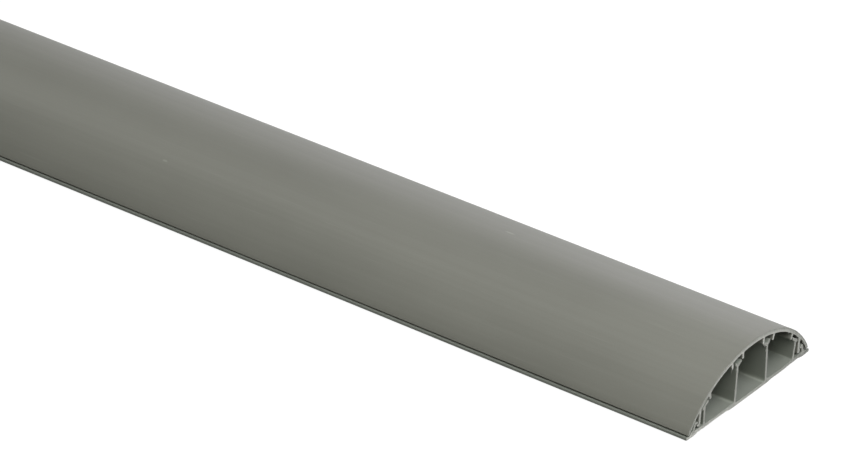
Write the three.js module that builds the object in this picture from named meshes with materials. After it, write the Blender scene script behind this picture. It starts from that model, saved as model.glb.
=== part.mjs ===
// Floor cord cover: a length of PVC floor trunking, in two extruded pieces that clip together.
// Millimetres, +Z up. X runs along the length and Y across it.
// The origin is at the middle of the underside. Both sections are the same left and right of Y = 0.
import * as THREE from "three";

// Overall size
const LENGTH = 1000;
const WIDTH = 75;
const HEIGHT = 20.6;

// Base plate
const PLATE = 1.2; // thickness of the plate
const LIP_THICKNESS = 0.95; // the plate's long edges, which show beside the cover
const LIP_WIDTH = 2.1;
const RELIEF_DEPTH = 0.5; // the plate is raised by this much beside its middle strip and its edges
const RELIEF_START = 11; // half the width of the middle strip that lies on the floor
const RELIEF_END = 4.5; // from the long edge to the end of the raised part
const RELIEF_RUN = 3; // width of each slope of the raised part
const FOOT_FILLET = 0.5; // where walls join the plate

// Hooks of the base, one along each side
const HOOK_INSET = 3.5; // from the base's long edge to the outer face of the hook's foot
const HOOK_THICKNESS = 1;
const HOOK_REACH = 1.85; // from the inner face of the hook's foot to its nose
const NOSE_THICKNESS = 0.75;
const NOSE_DROP = 0.45; // the nose is lower than the hook's shoulder by this much

// Clip legs of the cover
const LEG_THICKNESS = 1.15;
const LEG_LIFT = 0.6; // from the floor of the base to the foot of the leg
const BARB_REACH = 0.9;
const BARB_HEIGHT = 1;
const CLIP_GAP = 0.3; // between the legs with their barbs and the hooks
const HOOK_COVER_GAP = 0.45; // between the hook's shoulder and the cover

// Side walls with a sloping head under the cover
const SIDE_WALL_INSET = 1.95; // from the leg to the foot of the side wall
const SIDE_WALL_LEAN = 0.5; // the wall leans outwards by this much
const SIDE_WALL_THICKNESS = 1;
const HEAD_INWARD = 2; // from the wall's middle to the head's inner tip
const HEAD_OUTWARD = 1.2;
const HEAD_THICKNESS = 0.9;
const HEAD_INNER_GAP = 1.2; // from the head's inner tip up to the cover
const HEAD_OUTER_GAP = 0.6;

// Dividers with a fork under the cover
const DIVIDER_FOOT = 9.45; // middle of a divider at its foot, from the centre line
const DIVIDER_LEAN = 0.4; // a divider leans inwards by this much
const DIVIDER_THICKNESS = 1;
const FORK_RISE = 2; // height of the fork
const FORK_INWARD = 2.15; // from the divider's middle to the tip of the fork's inner arm
const FORK_OUTWARD = 1.5;
const FORK_THICKNESS = 0.8;
const FORK_GAP = 1.7; // from the fork's tips up to the cover, above the divider

// Cover: a crown arc, a tighter shoulder arc and an edge arc. Angles are degrees from the vertical.
const COVER_THICKNESS = 1.35;
const EDGE_THICKNESS = 1; // outside the legs
const COVER_INSET = 0.8; // from the base's long edge to the cover's
const EDGE_GAP = 0.68; // under the cover's long edges
const CROWN_ANGLE = 22; // where the crown meets the shoulder
const SHOULDER_ANGLE = 54; // where the shoulder meets the edge
const EDGE_ANGLE = 66.5; // where the edge ends
const EDGE_RADIUS = 12;

// Ribs under the cover
const RIB_THICKNESS = 0.9;
const ROOT_FILLET = 0.4; // where ribs and legs join the cover
const SIDE_RIB = { inset: 2.45, length: 2.05, lean: 24 }; // inset from the top of the side wall
const OUTER_FORK_RIB = { clearance: 1.3, length: 2.3, lean: 12 }; // beyond the fork's outer tip
const INNER_FORK_RIB = { clearance: 0.1, length: 2.3, lean: 4 }; // inside the fork's inner tip

const CURVE_PITCH = 2.3; // length of a chord along a curved surface
const FILLET_RUN = 1; // length of the chord beside a rib's root
const FILLET_STEPS = 3;

// Heights and places that follow from the sizes above
const RADIANS = Math.PI / 180;
const HALF_WIDTH = WIDTH / 2;
const FLOOR = PLATE + RELIEF_DEPTH; // the plate's top beside the dividers
const EDGE_BOTTOM = LIP_THICKNESS + EDGE_GAP;
const HOOK_FOOT = HALF_WIDTH - HOOK_INSET;
const NOSE = HOOK_FOOT - HOOK_THICKNESS - HOOK_REACH;
const LEG_OUTER = NOSE - CLIP_GAP;
const LEG_INNER = LEG_OUTER - LEG_THICKNESS;
const LEG_BOTTOM = FLOOR + LEG_LIFT;
const BARB_TOP = LEG_BOTTOM + BARB_HEIGHT;
const NOSE_BOTTOM = BARB_TOP + CLIP_GAP;
const HOOK_TOP = NOSE_BOTTOM + NOSE_THICKNESS + NOSE_DROP;
const SIDE_WALL_FOOT = LEG_INNER - SIDE_WALL_INSET - SIDE_WALL_THICKNESS / 2;
const SIDE_WALL_TOP = SIDE_WALL_FOOT + SIDE_WALL_LEAN;
const DIVIDER_TOP = DIVIDER_FOOT - DIVIDER_LEAN;

// Radii of the crown and the shoulder, so that three tangent arcs span the cover's width and height.
function coverRadii() {
  const [a, b, c] = [CROWN_ANGLE, SHOULDER_ANGLE, EDGE_ANGLE].map((angle) => angle * RADIANS);
  const width = HALF_WIDTH - COVER_INSET - EDGE_RADIUS * (Math.sin(c) - Math.sin(b));
  const height = HEIGHT - EDGE_BOTTOM - EDGE_RADIUS * (Math.cos(b) - Math.cos(c));
  const across = [Math.sin(a), Math.sin(b) - Math.sin(a)];
  const down = [1 - Math.cos(a), Math.cos(a) - Math.cos(b)];
  const area = across[0] * down[1] - across[1] * down[0];
  const crownRadius = (width * down[1] - height * across[1]) / area;
  const shoulderRadius = (height * across[0] - width * down[0]) / area;
  return [crownRadius, shoulderRadius];
}

// The arc that goes on from another one's end with a radius of its own, up to an angle.
function nextArc(arc, radius, end) {
  return {
    y: arc.y + (arc.radius - radius) * Math.sin(arc.end),
    z: arc.z + (arc.radius - radius) * Math.cos(arc.end),
    radius,
    end: end * RADIANS,
  };
}

const [CROWN_RADIUS, SHOULDER_RADIUS] = coverRadii();
const crown = { y: 0, z: HEIGHT - CROWN_RADIUS, radius: CROWN_RADIUS, end: CROWN_ANGLE * RADIANS };
const shoulder = nextArc(crown, SHOULDER_RADIUS, SHOULDER_ANGLE);
const edge = nextArc(shoulder, EDGE_RADIUS, 90);
const ARCS = [crown, shoulder, edge];

// Point of the cover at an angle, at a depth under its outer surface.
function coverPoint(angle, depth) {
  const arc = ARCS.find(({ end }) => angle <= end);
  const radius = arc.radius - depth;
  return [arc.y + radius * Math.sin(angle), arc.z + radius * Math.cos(angle)];
}

// Angle at which the surface at a depth reaches a distance from the centre line.
function angleAtY(y, depth) {
  const angles = ARCS.map((arc) => Math.asin((y - arc.y) / (arc.radius - depth)));
  return angles.find((angle, i) => angle <= ARCS[i].end);
}

// Angle at which the surface at a depth comes down to a height.
function angleAtZ(z, depth) {
  const angles = ARCS.map((arc) => Math.acos((z - arc.z) / (arc.radius - depth)));
  return angles.find((angle, i) => angle <= ARCS[i].end);
}

// Height of the cover's underside at a distance from the centre line.
function roofAt(y) {
  return coverPoint(angleAtY(y, COVER_THICKNESS), COVER_THICKNESS)[1];
}

// Points along the surface at a depth, from one angle to a smaller or larger one.
function surface(from, to, depth) {
  const [low, high] = [Math.min(from, to), Math.max(from, to)];
  const stops = [low, ...ARCS.map(({ end }) => end).filter((end) => end > low && end < high), high];
  const points = [coverPoint(low, depth)];
  for (let i = 1; i < stops.length; i++) {
    const { radius } = ARCS.find(({ end }) => stops[i] <= end);
    const span = stops[i] - stops[i - 1];
    const steps = Math.ceil((span * radius) / CURVE_PITCH);
    for (let s = 1; s <= steps; s++) {
      points.push(coverPoint(stops[i - 1] + (span * s) / steps, depth));
    }
  }
  return from < to ? points : points.reverse();
}

// A closed outline from its right half, which runs from the centre line round to the centre line.
function mirrored(half) {
  const left = half.filter(([y]) => y > 1e-6).map(([y, z, fillet]) => [-y, z, fillet]);
  return [...half, ...left.reverse()];
}

// Replaces each corner that has a fillet radius by an arc, no longer than its two sides allow.
function filleted(corners) {
  const count = corners.length;
  return corners.flatMap(([y, z, fillet = 0], i) => {
    const corner = new THREE.Vector2(y, z);
    if (fillet === 0) return [corner];
    const before = new THREE.Vector2(...corners[(i + count - 1) % count]).sub(corner);
    const after = new THREE.Vector2(...corners[(i + 1) % count]).sub(corner);
    const halfAngle = Math.acos(before.dot(after) / before.length() / after.length()) / 2;
    const room = 0.45 * Math.min(before.length(), after.length());
    const setback = Math.min(fillet / Math.tan(halfAngle), room);
    const start = corner.clone().addScaledVector(before.normalize(), setback);
    const end = corner.clone().addScaledVector(after.normalize(), setback);
    return new THREE.QuadraticBezierCurve(start, corner, end).getPoints(FILLET_STEPS);
  });
}

// Extrudes an outline of [y, z, fillet] corners over the whole length.
function extrusion(name, corners, material) {
  const shape = new THREE.Shape(filleted(corners));
  const geometry = new THREE.ExtrudeGeometry(shape, { depth: LENGTH, bevelEnabled: false });
  const across = new THREE.Vector3(0, 1, 0);
  const up = new THREE.Vector3(0, 0, 1);
  const along = new THREE.Vector3(1, 0, 0);
  geometry.applyMatrix4(new THREE.Matrix4().makeBasis(across, up, along));
  const mesh = new THREE.Mesh(geometry, material);
  mesh.name = name;
  mesh.position.x = -LENGTH / 2;
  return mesh;
}

// Underside of the base, from the centre line out to the long edge.
function undersideCorners() {
  const reliefEnd = HALF_WIDTH - RELIEF_END;
  return [
    [RELIEF_START, 0],
    [RELIEF_START + RELIEF_RUN, RELIEF_DEPTH],
    [reliefEnd - RELIEF_RUN, RELIEF_DEPTH],
    [reliefEnd, 0],
    [HALF_WIDTH, 0, 0.15],
  ];
}

// Long edge of the base and the hook, from the outside in.
function hookCorners() {
  const lipEnd = HALF_WIDTH - LIP_WIDTH;
  const innerFoot = HOOK_FOOT - HOOK_THICKNESS;
  const [underCover] = coverPoint(angleAtZ(HOOK_TOP, EDGE_THICKNESS), EDGE_THICKNESS);
  const outerTop = underCover - HOOK_COVER_GAP;
  return [
    [HALF_WIDTH, LIP_THICKNESS, 0.25],
    [lipEnd, LIP_THICKNESS, 0.2],
    [lipEnd - (FLOOR - LIP_THICKNESS), FLOOR, 0.2],
    [HOOK_FOOT, FLOOR, 0.1],
    [outerTop, HOOK_TOP, 0.35],
    [NOSE, NOSE_BOTTOM + NOSE_THICKNESS, 0.2],
    [NOSE, NOSE_BOTTOM, 0.2],
    [outerTop - NOSE_THICKNESS, NOSE_BOTTOM + NOSE_DROP / 2, 0.2],
    [innerFoot, FLOOR, 0.2],
  ];
}

// Side wall with its sloping head, from the outside in.
function sideWallCorners() {
  const half = SIDE_WALL_THICKNESS / 2;
  const outer = SIDE_WALL_TOP + HEAD_OUTWARD;
  const inner = SIDE_WALL_TOP - HEAD_INWARD;
  const outerTop = roofAt(outer) - HEAD_OUTER_GAP;
  const innerTop = roofAt(inner) - HEAD_INNER_GAP;
  const slope = (innerTop - outerTop) / (outer - inner);
  const under = HEAD_THICKNESS * Math.hypot(1, slope);
  const undersideAt = (y) => outerTop + slope * (outer - y) - under;
  return [
    [SIDE_WALL_FOOT + half, FLOOR, FOOT_FILLET],
    [SIDE_WALL_TOP + half, undersideAt(SIDE_WALL_TOP + half), 0.15],
    [outer, outerTop - under, 0.3],
    [outer, outerTop, 0.3],
    [inner, innerTop, 0.3],
    [inner, innerTop - under, 0.3],
    [SIDE_WALL_TOP - half, undersideAt(SIDE_WALL_TOP - half), 0.3],
    [SIDE_WALL_FOOT - half, FLOOR, FOOT_FILLET],
  ];
}

// Divider with its fork, from the outside in. The floor between the two dividers is lower.
function dividerCorners() {
  const half = DIVIDER_THICKNESS / 2;
  const forkTop = roofAt(DIVIDER_TOP) - FORK_GAP;
  const forkFoot = forkTop - FORK_RISE;
  return [
    [DIVIDER_FOOT + half, FLOOR, FOOT_FILLET],
    [DIVIDER_TOP + half, forkFoot, 0.3],
    [DIVIDER_TOP + FORK_OUTWARD, forkTop - FORK_THICKNESS, 0.2],
    [DIVIDER_TOP + FORK_OUTWARD, forkTop, 0.2],
    [DIVIDER_TOP, forkFoot + FORK_THICKNESS * 1.2, 0.3],
    [DIVIDER_TOP - FORK_INWARD, forkTop, 0.2],
    [DIVIDER_TOP - FORK_INWARD, forkTop - FORK_THICKNESS, 0.2],
    [DIVIDER_TOP - half, forkFoot, 0.3],
    [DIVIDER_FOOT - half, PLATE, FOOT_FILLET],
  ];
}

// Rib under the cover at a distance from the centre line, as the angles of its roots and its tip.
function rib(y, { length, lean }) {
  const angle = lean * RADIANS;
  const rootHalf = RIB_THICKNESS / 2 / Math.cos(angle);
  const tipY = y - length * Math.sin(angle);
  const tipZ = roofAt(y) - length * Math.cos(angle);
  const across = (RIB_THICKNESS / 2) * Math.cos(angle);
  const drop = (RIB_THICKNESS / 2) * Math.sin(angle);
  return {
    outerRoot: angleAtY(y + rootHalf, COVER_THICKNESS),
    innerRoot: angleAtY(y - rootHalf, COVER_THICKNESS),
    tip: [
      [tipY + across, tipZ - drop, 0.25],
      [tipY - across, tipZ + drop, 0.25],
    ],
  };
}

// Clip leg with its barb, as the angles of its roots and its tip.
function clipLeg() {
  return {
    outerRoot: angleAtY(LEG_OUTER, EDGE_THICKNESS),
    innerRoot: angleAtY(LEG_INNER, COVER_THICKNESS),
    tip: [
      [LEG_OUTER, BARB_TOP, 0.1],
      [LEG_OUTER + BARB_REACH, BARB_TOP - BARB_HEIGHT * 0.15, 0.2],
      [LEG_OUTER, LEG_BOTTOM, 0.2],
      [LEG_INNER, LEG_BOTTOM, 0.4],
    ],
  };
}

// All that stands out of the cover's underside on one side, from the outside in.
function coverTeeth() {
  const forkOuter = DIVIDER_TOP + FORK_OUTWARD + RIB_THICKNESS;
  const forkInner = DIVIDER_TOP - FORK_INWARD - RIB_THICKNESS / 2;
  return [
    clipLeg(),
    rib(SIDE_WALL_TOP - SIDE_RIB.inset, SIDE_RIB),
    rib(forkOuter + OUTER_FORK_RIB.clearance, OUTER_FORK_RIB),
    rib(forkInner - INNER_FORK_RIB.clearance, INNER_FORK_RIB),
  ];
}

function baseOutline() {
  return mirrored([
    ...undersideCorners(),
    ...hookCorners(),
    ...sideWallCorners(),
    ...dividerCorners(),
  ]);
}

function coverOutline() {
  const half = surface(0, angleAtZ(EDGE_BOTTOM, 0), 0);
  let from = angleAtZ(EDGE_BOTTOM, EDGE_THICKNESS);
  let depth = EDGE_THICKNESS;
  for (const { outerRoot, innerRoot, tip } of coverTeeth()) {
    const stretch = surface(from, outerRoot, depth);
    stretch.at(-1).push(ROOT_FILLET);
    depth = COVER_THICKNESS;
    half.push(...stretch, ...tip, [...coverPoint(innerRoot, depth), ROOT_FILLET]);
    from = innerRoot - FILLET_RUN / CROWN_RADIUS;
  }
  half.push(...surface(from, 0, depth));
  return mirrored(half);
}

const basePvc = new THREE.MeshStandardMaterial({ color: 0x7d7e74, roughness: 0.55, metalness: 0 });
const coverPvc = new THREE.MeshStandardMaterial({ color: 0x84857b, roughness: 0.5, metalness: 0 });

const cordCover = new THREE.Group();
cordCover.add(extrusion("base_channel", baseOutline(), basePvc));
cordCover.add(extrusion("cover", coverOutline(), coverPvc));

export default cordCover;
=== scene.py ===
"""Floor cord cover in matt stone-grey PVC, dressed around its CAD frame.

Lengths are in metres. X runs along the piece, Y across it, and Z up from the floor.
"""

import math
import random

import bmesh
import bpy
from mathutils import Matrix, Vector, noise
from mathutils.geometry import delaunay_2d_cdt


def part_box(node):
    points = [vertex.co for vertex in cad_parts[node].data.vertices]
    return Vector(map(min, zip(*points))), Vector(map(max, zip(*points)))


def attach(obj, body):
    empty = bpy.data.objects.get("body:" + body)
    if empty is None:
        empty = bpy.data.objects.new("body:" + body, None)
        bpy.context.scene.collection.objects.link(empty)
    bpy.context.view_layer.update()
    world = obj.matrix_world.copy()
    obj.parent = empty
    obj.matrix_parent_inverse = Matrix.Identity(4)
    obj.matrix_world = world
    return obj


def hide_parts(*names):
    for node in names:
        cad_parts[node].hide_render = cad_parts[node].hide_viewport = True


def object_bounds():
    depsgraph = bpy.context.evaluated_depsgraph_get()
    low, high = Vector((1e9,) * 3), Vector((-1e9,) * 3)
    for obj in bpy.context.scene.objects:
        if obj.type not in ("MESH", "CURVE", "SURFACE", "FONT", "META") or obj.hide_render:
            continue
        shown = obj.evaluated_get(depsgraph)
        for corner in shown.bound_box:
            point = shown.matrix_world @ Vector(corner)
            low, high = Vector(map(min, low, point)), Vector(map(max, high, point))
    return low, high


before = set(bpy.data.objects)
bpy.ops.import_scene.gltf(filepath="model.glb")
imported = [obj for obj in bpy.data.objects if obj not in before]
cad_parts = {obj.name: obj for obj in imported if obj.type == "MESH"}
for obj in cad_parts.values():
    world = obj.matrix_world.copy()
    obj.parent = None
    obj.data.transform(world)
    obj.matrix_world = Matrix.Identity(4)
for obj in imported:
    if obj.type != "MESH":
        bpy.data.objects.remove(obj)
cad_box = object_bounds()

MM = 0.001
TAU = 2 * math.pi

# Photograph
IMAGE_WIDTH = 841
SENSOR_WIDTH = 36.0
VIEW_AZIMUTH = math.radians(33.22)
VIEW_ELEVATION = math.radians(29.08)
VIEW_ROLL = math.radians(4.005)
FOCAL_PIXELS = 4976.8
VIEW_DISTANCE = 21.415  # in widths of the part, from the near end's foot along the view
VIEW_OFFSET = (1.4109, -0.6832)  # in widths of the part, across and up the image

# Outline of a section, read from its solid
WELD_DISTANCE = 1e-6
END_DEPTH = 1e-5  # points this near the end belong to the end's face
END_NORMAL = 0.5  # a face whose normal has more than this along X is part of the near end
OUTLINE_STEP = 0.8 * MM
ROUND_TURN = math.radians(50)  # a corner that turns less is part of a round stretch
STRAIGHT_RATIO = 3  # a round stretch starts tangent to an edge this many times longer
SHARP_EDGE = math.radians(38)
SKIN = 0.6 * MM  # points this near the outermost ones belong to the outer face

# Unevenness of the extruded pieces
STATION_PITCH = 12 * MM
WAVE_HEIGHT = 0.07 * MM
WAVE_LENGTH = 160 * MM
WAVE_GAIN = 2  # brings the noise to about -1 to 1
SECOND_WAVE = 7.3  # added to the seed for the wave up and down
SINK_DEPTH = 0.035 * MM  # shallow grooves outside the cover's ribs and legs
SINK_WIDTH = 1.3 * MM
SINK_SLOPE = 0.2  # only on faces that look up at least this much
SINKS = (6.4 * MM, 12.8 * MM, 25.3 * MM, 30.3 * MM)  # from the centre line, on both sides

# Saw cuts
RAGGED_DEPTH = 0.11 * MM  # unevenness of the walls' faces beside a saw cut
RAGGED_LENGTH = 0.9 * MM
RAGGED_REACH = 1.6 * MM
RAGGED_MEAN = 0.4
CUT_STATIONS = (0, 0.15 * MM, 0.5 * MM, 1.0 * MM, RAGGED_REACH, 4 * MM)  # from a cut inwards
CHAMFER = 0.05 * MM
CAP_TOLERANCE = 1e-6  # in millimetres
CAP_INSIDE = 1  # the triangulation keeps only what lies inside the outline
SAWN_INDEX = 1  # place of the sawn material on a piece

# The base out of true
PLATE_TOP = 1.1 * MM
DIVIDER_FOOT = 9.4 * MM
DIVIDER_SPREAD = 2.2 * MM  # how far beside a divider's foot its floor moves with it
DIVIDER_DRIFT = 0.85 * MM  # both dividers' feet stand this far towards +Y, and their tops don't
DRIFT_PERIOD = 0.5  # the drift comes and goes along the length, once in this many metres
DRIFT_MEAN = 0.75  # as a share of the greatest drift
DRIFT_SWING = 0.25
WARP_BOTTOM = 2.5 * MM
WARP_TOP = 14.0 * MM
BOW_RISE = 0.38 * MM  # the plate's middle lies on the floor, and all else stands this much higher
BOW_MIDDLE = 8 * MM
BOW_HALF_WIDTH = 37 * MM
# Where the plate sags beside its middle: place, half width and depth
SAGS = (
    (-26.5 * MM, 4.5 * MM, 0.16 * MM),
    (18.6 * MM, 6 * MM, 0.25 * MM),
)

# How torn and pale the saw cuts are, from 0 to 1
PLATE_TEAR = 0.6
PLATE_PALENESS_FALL = 13.0  # the plate's cut face is this much less pale for each metre towards +Y
WALL_TEAR = 0.42
COVER_TEAR = 1.0  # at the cover's inner edge and ribs
RIM_TEAR = 0.2  # along the outer edge of the cover's cut
SIDE_TEAR = 0.6  # at the cover's inner edge and legs, past SIDE_START
SIDE_START = 23 * MM

# Painted highlight lines beside the feet of the base's walls, and painted shade on its long edges
FOOT_HIGHLIGHTS = (8.5 * MM, 10.3 * MM, 27.0 * MM)  # painted highlight lines, from the centre line on both sides
FOOT_HIGHLIGHT_WIDTH = 0.75 * MM
FOOT_HEIGHT = 0.9 * MM
LIP_START = 35.8 * MM
LIP_TOP = 1.2 * MM

# Shreds of plastic on the saw cuts
BURRS_PER_END = 22
BURR_CLEARANCE = 0.7 * MM  # none on edges nearer to the floor than this
BURR_SLOPE = 0.25  # none on faces that look up more than this
BURR_LENGTHS = (0.15 * MM, 0.45 * MM)
BURR_WIDTHS = (0.3 * MM, 0.9 * MM)
FLAKE_THICKNESS = 0.09 * MM
FLAKE_ROOT = 0.12 * MM  # how deep a flake starts inside the wall
FLAKE_SETBACK = 0.03 * MM  # behind the face of the saw cut
FLAKE_LEAN = 0.35  # sideways at the tip, at most, as a share of its width
FLAKE_CURL = (-0.1, 0.25)  # of the tip along the piece, as shares of its length
# The two corners beside the tip: lowest and highest share of the length, and share of the width
FIRST_CORNER = (0.35, 0.6, 0.32)
SECOND_CORNER = (0.3, 0.55, -0.3)
# Long shreds on a divider and on the cover's ribs: place, length and width
DIVIDER_SHREDS = (
    (Vector((8.6, 12.9)) * MM, 0.55 * MM, 0.8 * MM),
    (Vector((7.6, 15.2)) * MM, 0.75 * MM, 0.9 * MM),
)
RIB_SHREDS = (
    (Vector((-12.6, 14.7)) * MM, 1.3 * MM, 0.3 * MM),
    (Vector((6.4, 16.3)) * MM, 0.8 * MM, 0.7 * MM),
)

# Colours and finish of the plastic
WHITE = (1.0, 1.0, 1.0, 1)
BLACK = (0, 0, 0, 1)
COVER_COLOR = (0.252, 0.256, 0.222)
BASE_COLOR = (0.254, 0.273, 0.238)
SAWN_COLOR = (0.370, 0.378, 0.342)
TORN_COLOR = (0.790, 0.800, 0.735)
COVER_ROUGHNESS = 0.48
BASE_ROUGHNESS = 0.54
ROUGHNESS_SPREAD = (-0.03, 0.05)
NOISE_RANGE = (0.35, 0.65)  # the part of the noise's values that is spread over a range
CLOUDY_RANGE = (0.36, 0.64)
CLOUDY_SHADES = (0.945, 1.065)
# Paler shade of the scuffs, the nicks and the painted highlight lines
WEAR_AND_HIGHLIGHT_SHADE = 1.6
SCUFF_RANGE = (0.66, 0.78)
SCUFF_STRENGTH = 0.14
NICK_STRENGTH = 0.5
THIN_PATCHES = 0.35  # what is left of a painted highlight line where it is faintest
LIP_SHADE = 0.17  # painted shade: how much darker the base's long edges are painted
PVC_BUMP = 0.06 * MM
SAWN_SHADES = (0.86, 1.12)
TEAR_RANGE = (0.4, 1.25)
SAWN_FINISH_RANGE = (0.3, 0.7)
SAWN_ROUGHNESS = (0.68, 0.86)
SAWN_BUMP = 0.12 * MM
# Two short pale nicks on the cover: place and size, through its whole thickness
COVER_NICKS = (
    (Vector((400.2, 7.1, 20)) * MM, Vector((4.4, 1.3, 60)) * MM),
    (Vector((278.6, -22.2, 15)) * MM, Vector((2.4, 0.9, 60)) * MM),
)

# Studio
WARM_WHITE = (1.0, 1.0, 0.94)
COOL_WHITE = (0.94, 0.96, 1.0)
SKY_WHITE = (0.965, 0.945, 0.99)
FILL_STRENGTH = 0.02
FLOOR_HALF = 40.0
FLOOR_DROP = 0.02 * MM
FLOOR_BOUNCE = (0.28, 0.28, 0.27, 1)  # in the light that it throws back on the part
FLOOR_FAINT = (0.14, 0.14, 0.14, 1)  # where the camera sees it, so that a faint shadow shows
FLOOR_GLOW = 0.95
SOFTBOX_SIZE = 0.5
# Name, place from the near end, place along X that it faces, power and colour
SOFTBOXES = (
    ("overhead softbox", (0.35, 0, 0.95), 0, 3.95, SKY_WHITE),
    ("front softbox", (0.35, -0.55, 0.78), 0, 3.8, WARM_WHITE),
    ("end softbox", (0.7, 0, 0.7), 0, 2.3, COOL_WHITE),
    ("back softbox", (-0.3, 1.0, 0.35), -0.15, 1.7, SKY_WHITE),
    ("far back softbox", (-0.8, 1.0, 0.35), -0.6, 1.2, SKY_WHITE),
    ("far softbox", (-1.0, 0.2, 1.1), -1.0, 2.8, WARM_WHITE),
    ("far end softbox", (-1.7, 0, 0.6), -1.0, 2.3, COOL_WHITE),
)


def section_outline(node):
    """The node's section as (y, z) points, counter-clockwise as seen from +X, read at the near end."""
    bm = bmesh.new()
    bm.from_mesh(node.data)
    bmesh.ops.remove_doubles(bm, verts=bm.verts, dist=WELD_DISTANCE)
    near = max(v.co.x for v in bm.verts)
    at_end = {v for v in bm.verts if v.co.x > near - END_DEPTH}
    rim = [
        e
        for e in bm.edges
        if e.verts[0] in at_end
        and e.verts[1] in at_end
        and sum(f.normal.x > END_NORMAL for f in e.link_faces) == 1
    ]
    neighbours = {v: [] for v in at_end}
    for e in rim:
        neighbours[e.verts[0]].append(e.verts[1])
        neighbours[e.verts[1]].append(e.verts[0])
    first = rim[0].verts[0]
    before, here = None, first
    points = []
    while here is not first or before is None:
        points.append(Vector((here.co.y, here.co.z)))
        following = next(v for v in neighbours[here] if v is not before)
        before, here = here, following
    bm.free()
    area = sum(a.x * b.y - b.x * a.y for a, b in zip(points, points[1:] + points[:1]))
    return points if area > 0 else points[::-1]


def tangents(points):
    """Directions in which a smooth curve through the points arrives at and leaves each of them."""
    count = len(points)
    arriving, leaving = [], []
    for i in range(count):
        into = points[i] - points[i - 1]
        out = points[(i + 1) % count] - points[i]
        u, v = into.normalized(), out.normalized()
        if into.angle(out) > ROUND_TURN:
            pair = (u, v)
        elif into.length > STRAIGHT_RATIO * out.length:
            pair = (u, u)
        elif out.length > STRAIGHT_RATIO * into.length:
            pair = (v, v)
        else:
            mean = (u * out.length + v * into.length).normalized()
            pair = (mean, mean)
        arriving.append(pair[0])
        leaving.append(pair[1])
    return arriving, leaving


def rounded(points):
    """The same outline with its round stretches as cubic curves, in short steps."""
    arriving, leaving = tangents(points)
    fine = []
    for i, start in enumerate(points):
        j = (i + 1) % len(points)
        end = points[j]
        length = (end - start).length
        steps = math.ceil(length / OUTLINE_STEP)
        for s in range(steps):
            t = s / steps
            fine.append(
                start * (2 * t**3 - 3 * t**2 + 1)
                + leaving[i] * length * (t**3 - 2 * t**2 + t)
                + end * (3 * t**2 - 2 * t**3)
                + arriving[j] * length * (t**3 - t**2)
            )
    return fine


def outward(points):
    """Unit normal at each point of a counter-clockwise outline, pointing out of the material."""
    normals = []
    for i, point in enumerate(points):
        along = (points[(i + 1) % len(points)] - points[i - 1]).normalized()
        normals.append(Vector((along.y, -along.x)))
    return normals


def stations(low, high):
    """Places along the length, close together beside the two saw cuts."""
    reach = CUT_STATIONS[-1]
    between = high - low - 2 * reach
    count = round(between / STATION_PITCH)
    middle = [low + reach + between * i / count for i in range(1, count)]
    return [low + b for b in CUT_STATIONS] + middle + [high - b for b in reversed(CUT_STATIONS)]


def wave(x, seed):
    """Slow unevenness along an extrusion, about -1 to 1."""
    return WAVE_GAIN * noise.noise(Vector((x / WAVE_LENGTH, seed, 0)))


def ragged(x, point, seed):
    """Fine unevenness of a wall's face beside a saw cut, from 0 to about 1."""
    place = Vector((x, point.x, point.y)) / RAGGED_LENGTH + Vector((seed, 0, 0))
    return max(0.0, RAGGED_MEAN + noise.noise(place))


def cap(bm, ring, faces_front):
    """Closes a ring of a section's outline with triangles of the sawn material."""
    flat = [Vector((v.co.y, v.co.z)) / MM for v in ring]
    sides = [(i, (i + 1) % len(ring)) for i in range(len(ring))]
    corners, _, triangles, *_ = delaunay_2d_cdt(flat, sides, [], CAP_INSIDE, CAP_TOLERANCE)
    assert len(corners) == len(ring), "the outline crosses itself"
    for triangle in triangles:
        face = bm.faces.new([ring[i] for i in (triangle if faces_front else triangle[::-1])])
        face.material_index = SAWN_INDEX


def base_warp(x, point, near):
    """How far a point of the base stands out of true: both dividers lean and the plate is bowed."""
    up = min(max((point.y - WARP_BOTTOM) / (WARP_TOP - WARP_BOTTOM), 0.0), 1.0)
    beside = (abs(point.x) - DIVIDER_FOOT) / DIVIDER_SPREAD
    along = DRIFT_MEAN + DRIFT_SWING * math.cos(TAU * (near - x) / DRIFT_PERIOD)
    drift = DIVIDER_DRIFT * along * math.exp(-(beside**4)) * (1 - up)
    bow = BOW_RISE * ((point.x - BOW_MIDDLE) / BOW_HALF_WIDTH) ** 2
    for place, half_width, depth in SAGS:
        bow -= depth * math.exp(-(((point.x - place) / half_width) ** 2))
    return Vector((drift if point.y > PLATE_TOP else 0.0, bow + (BOW_RISE - bow) * up))


def cover_warp(x, point, near):
    """The cover is straight, and stands as much higher as the bowed base holds it."""
    return Vector((0, BOW_RISE))


def cover_tear(outline):
    """How torn the cover's saw cut is at each point: its inner edge more than its outer edge."""
    values = []
    for point in outline:
        top = max(other.y for other in outline if abs(other.x - point.x) < SKIN)
        inner = SIDE_TEAR if abs(point.x) > SIDE_START else COVER_TEAR
        values.append(RIM_TEAR if point.y > top - SKIN else inner)
    return values


def base_tear(outline):
    """The same for the base: its plate's cut face is paler towards -Y, and its walls are alike."""
    return [
        PLATE_TEAR - PLATE_PALENESS_FALL * point.x if point.y < PLATE_TOP + SKIN else WALL_TEAR
        for point in outline
    ]


def cover_painted_light(outline):
    """The cover has no painted highlight lines and no painted shade on its edges."""
    return [0.0] * len(outline)


def base_painted_light(outline):
    """Up to 1 on the painted highlight lines beside the feet of the base's walls, and -1 on its long
    edges, where shade is painted.
    """
    values = []
    for point in outline:
        distance = min(abs(abs(point.x) - place) for place in FOOT_HIGHLIGHTS)
        on_plate = PLATE_TOP < point.y < PLATE_TOP + FOOT_HEIGHT
        on_lip = abs(point.x) > LIP_START and point.y < LIP_TOP
        # Painted highlight on the plate beside a wall's foot
        painted_highlight = max(0.0, 1 - distance / FOOT_HIGHLIGHT_WIDTH) if on_plate else 0.0
        # Painted shade on the base's long edges
        values.append(-1.0 if on_lip else painted_highlight)
    return values


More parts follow.
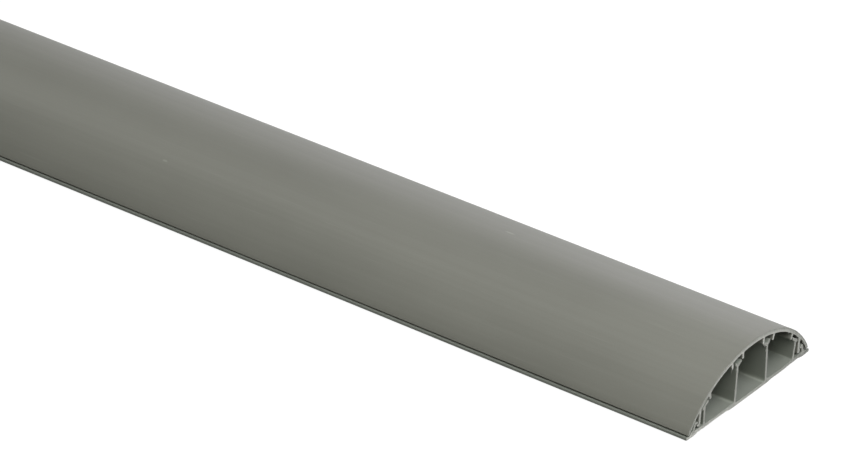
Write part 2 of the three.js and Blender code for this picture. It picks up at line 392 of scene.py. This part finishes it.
def object_from(bm, name):
    """A new object in the scene with the mesh that bm holds."""
    mesh = bpy.data.meshes.new(name)
    bm.to_mesh(mesh)
    bm.free()
    made = bpy.data.objects.new(name, mesh)
    bpy.context.scene.collection.objects.link(made)
    return made


def extrusion(name, outline, low, high, seed, sinks, warp, attributes):
    """A closed piece over an outline and a length, uneven as an extruded and sawn piece is."""
    normals = outward(outline)
    bm = bmesh.new()
    rings = []
    places = stations(low.x, high.x)
    for x in places:
        from_cut = min(x - low.x, high.x - x)
        rough = RAGGED_DEPTH * max(0.0, 1 - from_cut / RAGGED_REACH)
        shift = Vector((wave(x, seed), wave(x, seed + SECOND_WAVE))) * WAVE_HEIGHT
        ring = []
        for point, normal in zip(outline, normals):
            out = rough * ragged(x, point, seed)
            if normal.y > SINK_SLOPE:
                for place in sinks:
                    out -= SINK_DEPTH * math.exp(-(((abs(point.x) - place) / SINK_WIDTH) ** 2))
            if from_cut == 0:
                out -= CHAMFER
            at = point + normal * out + shift + warp(x, point, high.x)
            ring.append(bm.verts.new((x, at.x, max(at.y, low.z))))
        rings.append(ring)
    count = len(outline)
    for back, front in zip(rings, rings[1:]):
        for i in range(count):
            j = (i + 1) % count
            bm.faces.new((back[i], back[j], front[j], front[i]))
    cap(bm, rings[0], False)
    cap(bm, rings[-1], True)
    piece = object_from(bm, name)
    mesh = piece.data
    for title, values in attributes.items():
        attribute = mesh.attributes.new(title, "FLOAT", "POINT")
        attribute.data.foreach_set("value", values * len(places))
    mesh.polygons.foreach_set("use_smooth", [True] * len(mesh.polygons))
    mesh.set_sharp_from_angle(angle=SHARP_EDGE)
    return piece


def flake(bm, x, side, root, normal, length, width, rng):
    """A thin torn shred of plastic that hangs on a wall's edge at a saw cut."""
    along = Vector((-normal.y, normal.x))
    inside = root - normal * FLAKE_ROOT
    lean = rng.uniform(-FLAKE_LEAN, FLAKE_LEAN) * width

    def corner(shortest, longest, aside):
        out = normal * length * rng.uniform(shortest, longest)
        return root + out + along * (width * aside + lean / 2)

    shape = [
        inside - along * width / 2,
        inside + along * width / 2,
        corner(*FIRST_CORNER),
        root + normal * length + along * lean,
        corner(*SECOND_CORNER),
    ]
    curl = rng.uniform(*FLAKE_CURL) * length
    forward = [curl * share - FLAKE_SETBACK for share in (0, 0, 0.5, 1, 0.5)]
    front = [bm.verts.new((x + side * f, p.x, p.y)) for p, f in zip(shape, forward)]
    back = [
        bm.verts.new((x + side * (f - FLAKE_THICKNESS), p.x, p.y)) for p, f in zip(shape, forward)
    ]
    bm.faces.new(front)
    bm.faces.new(back[::-1])
    for i in range(len(shape)):
        j = (i + 1) % len(shape)
        bm.faces.new((front[i], back[i], back[j], front[j]))


def burrs(name, outline, low, high, seed, warp, shreds):
    """Shreds that the saw left on the edges of a piece's walls, at both ends."""
    normals = outward(outline)
    rng = random.Random(seed)
    bm = bmesh.new()

    def hang(x, side, i, length, width):
        root = outline[i] + warp(x, outline[i], high.x)
        flake(bm, x, side, root, normals[i], length, width, rng)

    for x, side in ((low.x, -1), (high.x, 1)):
        for _ in range(BURRS_PER_END):
            i = rng.randrange(len(outline))
            if normals[i].y > BURR_SLOPE or outline[i].y < BURR_CLEARANCE:
                continue
            length = rng.uniform(*BURR_LENGTHS)
            width = rng.uniform(*BURR_WIDTHS)
            hang(x, side, i, length, width)
        for place, length, width in shreds:
            i = min(range(len(outline)), key=lambda k: (outline[k] - place).length)
            hang(x, side, i, length, width)
    bmesh.ops.recalc_face_normals(bm, faces=bm.faces)
    return object_from(bm, name)


def shade(color, factor):
    """A lighter or darker shade of a colour, with its alpha."""
    return tuple(c * factor for c in color) + (1.0,)


class Nodes:
    """Short calls for a material's node tree."""

    def __init__(self, tree):
        self.tree = tree

    def add(self, kind, inputs=None, **settings):
        """A new node with its settings, and with values or links on its inputs."""
        made = self.tree.nodes.new(kind)
        for key, value in settings.items():
            setattr(made, key, value)
        for key, value in (inputs or {}).items():
            self.put(made.inputs[key], value)
        return made

    def put(self, socket, value):
        """Links a socket to an input, or writes a plain value on it."""
        if isinstance(value, bpy.types.NodeSocket):
            self.tree.links.new(value, socket)
        else:
            socket.default_value = value

    def noise(self, coordinates, scale=1.0, detail=3.0, stretch=(1, 1, 1), turn=(0, 0, 0)):
        """Noise from 0 to 1 over coordinates that are stretched and turned first."""
        mapping = self.add(
            "ShaderNodeMapping", {"Vector": coordinates, "Scale": stretch, "Rotation": turn}
        )
        texture = self.add(
            "ShaderNodeTexNoise",
            {"Vector": mapping.outputs["Vector"], "Scale": scale, "Detail": detail},
        )
        return texture.outputs["Fac"]

    def attribute(self, title):
        """The value that the mesh holds for each of its points."""
        return self.add("ShaderNodeAttribute", attribute_name=title).outputs["Fac"]

    def math(self, operation, first, second):
        made = self.add("ShaderNodeMath", {0: first, 1: second}, operation=operation)
        return made.outputs["Value"]

    def weighted(self, *parts):
        """Weighted sum of (weight, socket) pairs."""
        total = 0.0
        for weight, socket in parts:
            total = self.math("ADD", self.math("MULTIPLY", socket, weight), total)
        return total

    def between(self, value, source, target):
        """The value taken from one range to another, and kept within it."""
        made = self.add(
            "ShaderNodeMapRange",
            {
                "Value": value,
                "From Min": source[0],
                "From Max": source[1],
                "To Min": target[0],
                "To Max": target[1],
            },
        )
        return made.outputs["Result"]

    def spot(self, coordinates, place, size):
        """1 in the inner half of an ellipsoid of that size around a place, fading to 0 at its skin."""
        away = self.add("ShaderNodeVectorMath", {0: coordinates, 1: place}, operation="SUBTRACT")
        scaled = self.add("ShaderNodeVectorMath", {0: away.outputs[0], 1: size}, operation="DIVIDE")
        length = self.add("ShaderNodeVectorMath", {0: scaled.outputs[0]}, operation="LENGTH")
        return self.between(length.outputs["Value"], (0.25, 0.5), (1, 0))

    def mix(self, factor, first, second):
        """One colour over another. A colour mix keeps its factor and colours on inputs 0, 6 and 7."""
        made = self.add("ShaderNodeMix", {0: factor}, data_type="RGBA")
        self.put(made.inputs[6], first)
        self.put(made.inputs[7], second)
        return made.outputs[2]

    def shades(self, tone, source, color, pair):
        """A colour from a darker to a lighter shade, as the tone goes over its range."""
        dark, light = pair
        return self.mix(self.between(tone, source, (0, 1)), shade(color, dark), shade(color, light))

    def bump(self, height, strength, distance):
        """A normal that a height tilts, for the relief too fine to be in the mesh."""
        inputs = {"Strength": strength, "Distance": distance, "Height": height}
        return self.add("ShaderNodeBump", inputs).outputs["Normal"]


def material(name):
    """A new material with its shader and a tree to add to."""
    made = bpy.data.materials.new(name)
    made.use_nodes = True
    shader = made.node_tree.nodes["Principled BSDF"]
    return made, shader, Nodes(made.node_tree)


def extruded_pvc(name, color, roughness, nicks):
    """Matt PVC as it leaves the die: cloudy tone, lengthwise die lines, fine grain and a few scuffs,
    with painted shade and painted highlight lines where the mesh's values ask for them.
    """
    made, shader, nodes = material(name)
    where = nodes.add("ShaderNodeTexCoord").outputs["Object"]
    clouds = nodes.noise(where, scale=38, detail=4, stretch=(0.45, 1, 1))
    lines = nodes.noise(where, detail=4, stretch=(2.2, 620, 620))
    grain = nodes.noise(where, scale=2600, detail=2)
    scuffs = nodes.noise(where, detail=2, stretch=(34, 1500, 1500), turn=(0, 0, 0.05))
    faded = nodes.noise(where, scale=420, detail=2, stretch=(0.6, 1, 1))
    # The mesh's values: above 0 painted highlight, below 0 painted shade
    painted_light = nodes.attribute("painted_light")

    tone = nodes.weighted((0.5, clouds), (0.3, lines), (0.2, grain))
    base = nodes.shades(tone, CLOUDY_RANGE, color, CLOUDY_SHADES)
    # Painted shade: the base's long edges are darkened where the mesh's value is below 0
    base = nodes.mix(nodes.between(painted_light, (-1, 0), (LIP_SHADE, 0)), base, BLACK)

    wear_and_highlight = nodes.between(scuffs, SCUFF_RANGE, (0, SCUFF_STRENGTH))
    patches = nodes.between(faded, NOISE_RANGE, (THIN_PATCHES, 1))
    # Painted highlight lines beside the base's wall feet, broken into patches, where the mesh's value
    # is above 0
    wear_and_highlight = nodes.math("MAXIMUM", wear_and_highlight, nodes.math("MULTIPLY", painted_light, patches))
    for place, size in nicks:
        nick = nodes.math("MULTIPLY", nodes.spot(where, place, size), NICK_STRENGTH)
        wear_and_highlight = nodes.math("MAXIMUM", wear_and_highlight, nick)
    nodes.put(shader.inputs["Base Color"], nodes.mix(wear_and_highlight, base, shade(color, WEAR_AND_HIGHLIGHT_SHADE)))

    finish = nodes.weighted((0.6, clouds), (0.4, lines))
    span = tuple(roughness + spread for spread in ROUGHNESS_SPREAD)
    nodes.put(shader.inputs["Roughness"], nodes.between(finish, NOISE_RANGE, span))
    height = nodes.weighted((0.55, lines), (0.3, grain), (0.15, scuffs))
    nodes.put(shader.inputs["Normal"], nodes.bump(height, strength=0.28, distance=PVC_BUMP))
    return made


def sawn_pvc(name, color):
    """Sawn ends: rougher, with the strokes of the saw, and torn paler towards the inner edges."""
    made, shader, nodes = material(name)
    where = nodes.add("ShaderNodeTexCoord").outputs["Object"]
    strokes = nodes.noise(where, detail=3, stretch=(1, 2600, 260), turn=(0.22, 0, 0))
    crumbs = nodes.noise(where, scale=1900, detail=3)
    tone = nodes.weighted((0.6, strokes), (0.4, crumbs))
    base = nodes.shades(tone, NOISE_RANGE, color, SAWN_SHADES)
    torn = nodes.weighted((1.0, nodes.attribute("tear")), (0.7, tone))
    torn = nodes.between(torn, TEAR_RANGE, (0, 1))
    nodes.put(shader.inputs["Base Color"], nodes.mix(torn, base, shade(TORN_COLOR, 1)))
    nodes.put(shader.inputs["Roughness"], nodes.between(tone, SAWN_FINISH_RANGE, SAWN_ROUGHNESS))
    nodes.put(shader.inputs["Normal"], nodes.bump(tone, strength=0.5, distance=SAWN_BUMP))
    return made


def dress(name, node_name, materials, seed, sinks, warp, tear, painted_light, shreds):
    """Replaces a node by its extruded piece, and hangs the saw's shreds on its two ends."""
    low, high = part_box(node_name)
    outline = rounded(section_outline(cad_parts[node_name]))
    # The second values paint highlight lines and shade onto the plastic
    attributes = {"tear": tear(outline), "painted_light": painted_light(outline)}
    piece = extrusion(name, outline, low, high, seed, sinks, warp, attributes)
    for made in materials:
        piece.data.materials.append(made)
    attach(piece, "root")
    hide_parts(node_name)
    shred_piece = burrs(f"{node_name}_burrs", outline, low, high, seed, warp, shreds)
    shred_piece.data.materials.append(materials[SAWN_INDEX])
    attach(shred_piece, "root")


def floor_material():
    """White for the camera and in reflections, and greyer in the light that it throws back."""
    made = bpy.data.materials.new("pale floor")
    made.use_nodes = True
    tree = made.node_tree
    tree.nodes.clear()
    nodes = Nodes(tree)
    ray = nodes.add("ShaderNodeLightPath")
    paper = nodes.add("ShaderNodeBsdfDiffuse", {"Color": FLOOR_BOUNCE})
    faint = nodes.add("ShaderNodeBsdfDiffuse", {"Color": FLOOR_FAINT})
    glow = nodes.add("ShaderNodeEmission", {"Color": WHITE, "Strength": FLOOR_GLOW})
    bright = nodes.add("ShaderNodeAddShader", {0: faint.outputs[0], 1: glow.outputs[0]})
    seen = nodes.math("MAXIMUM", ray.outputs["Is Camera Ray"], ray.outputs["Is Glossy Ray"])
    mixed = nodes.add("ShaderNodeMixShader", {0: seen, 1: paper.outputs[0], 2: bright.outputs[0]})
    output = nodes.add("ShaderNodeOutputMaterial", {"Surface": mixed.outputs[0]})
    output.is_active_output = True
    return made


def pale_floor():
    """A plain pale floor that comes out almost white, with a faint contact shadow."""
    mesh = bpy.data.meshes.new("floor")
    corners = [(-1, -1), (1, -1), (1, 1), (-1, 1)]
    places = [(x * FLOOR_HALF, y * FLOOR_HALF, -FLOOR_DROP) for x, y in corners]
    mesh.from_pydata(places, [], [(0, 1, 2, 3)])
    floor = bpy.data.objects.new("floor", mesh)
    bpy.context.scene.collection.objects.link(floor)
    mesh.materials.append(floor_material())


def white_world():
    """White behind the object, and a much weaker even light on it."""
    world = bpy.data.worlds.new("studio")
    bpy.context.scene.world = world
    world.use_nodes = True
    tree = world.node_tree
    tree.nodes.clear()
    nodes = Nodes(tree)
    seen = nodes.add("ShaderNodeLightPath").outputs["Is Camera Ray"]
    fill = nodes.add("ShaderNodeBackground", {"Color": WHITE, "Strength": FILL_STRENGTH})
    white = nodes.add("ShaderNodeBackground", {"Color": WHITE, "Strength": 1.0})
    mixed = nodes.add("ShaderNodeMixShader", {0: seen, 1: fill.outputs[0], 2: white.outputs[0]})
    nodes.add("ShaderNodeOutputWorld", {"Surface": mixed.outputs[0]})


def softbox(name, place, target, power, color):
    """A square area light at a place, facing a target."""
    light = bpy.data.lights.new(name, "AREA")
    light.shape = "SQUARE"
    light.size = SOFTBOX_SIZE
    light.energy = power
    light.color = color
    lamp = bpy.data.objects.new(name, light)
    lamp.location = place
    lamp.rotation_euler = (target - place).to_track_quat("-Z", "Y").to_euler()
    bpy.context.scene.collection.objects.link(lamp)


def studio_lights():
    """Soft boxes around the near end, and weaker ones over the far half."""
    near = Vector((cad_box[1].x, 0, 0))
    for name, place, target_x, power, color in SOFTBOXES:
        softbox(name, near + Vector(place), near + Vector((target_x, 0, 0)), power, color)


def photo_camera():
    """The camera as fitted to the photograph, around the near end's foot."""
    low, high = cad_box
    width = high.y - low.y
    a, e = VIEW_AZIMUTH, VIEW_ELEVATION
    back = Vector((math.sin(a) * math.cos(e), -math.cos(a) * math.cos(e), math.sin(e)))
    level = Vector((math.cos(a), math.sin(a), 0))
    upright = back.cross(level)
    right = level * math.cos(VIEW_ROLL) + upright * math.sin(VIEW_ROLL)
    up = upright * math.cos(VIEW_ROLL) - level * math.sin(VIEW_ROLL)
    foot = Vector((high.x, 0, low.z + BOW_RISE))
    across, above = VIEW_OFFSET
    place = foot + (back * VIEW_DISTANCE - right * across - up * above) * width
    data = bpy.data.cameras.new("photo camera")
    data.sensor_width = SENSOR_WIDTH
    data.sensor_fit = "HORIZONTAL"
    data.lens = FOCAL_PIXELS / IMAGE_WIDTH * SENSOR_WIDTH
    camera = bpy.data.objects.new("photo camera", data)
    axes = Matrix((right, up, back)).transposed().to_4x4()
    camera.matrix_world = Matrix.Translation(place) @ axes
    bpy.context.scene.collection.objects.link(camera)
    bpy.context.scene.camera = camera


cover_pvc = extruded_pvc("stone-grey PVC of the cover", COVER_COLOR, COVER_ROUGHNESS, COVER_NICKS)
base_pvc = extruded_pvc("stone-grey PVC of the base", BASE_COLOR, BASE_ROUGHNESS, ())
sawn = sawn_pvc("sawn PVC", SAWN_COLOR)

dress(
    "base_extrusion",
    "base_channel",
    materials=(base_pvc, sawn),
    seed=3.1,
    sinks=(),
    warp=base_warp,
    tear=base_tear,
    painted_light=base_painted_light,
    shreds=DIVIDER_SHREDS,
)
dress(
    "cover_extrusion",
    "cover",
    materials=(cover_pvc, sawn),
    seed=11.7,
    sinks=SINKS,
    warp=cover_warp,
    tear=cover_tear,
    painted_light=cover_painted_light,
    shreds=RIB_SHREDS,
)

pale_floor()
white_world()
studio_lights()
photo_camera()
bpy.context.scene.view_settings.view_transform = "Standard"
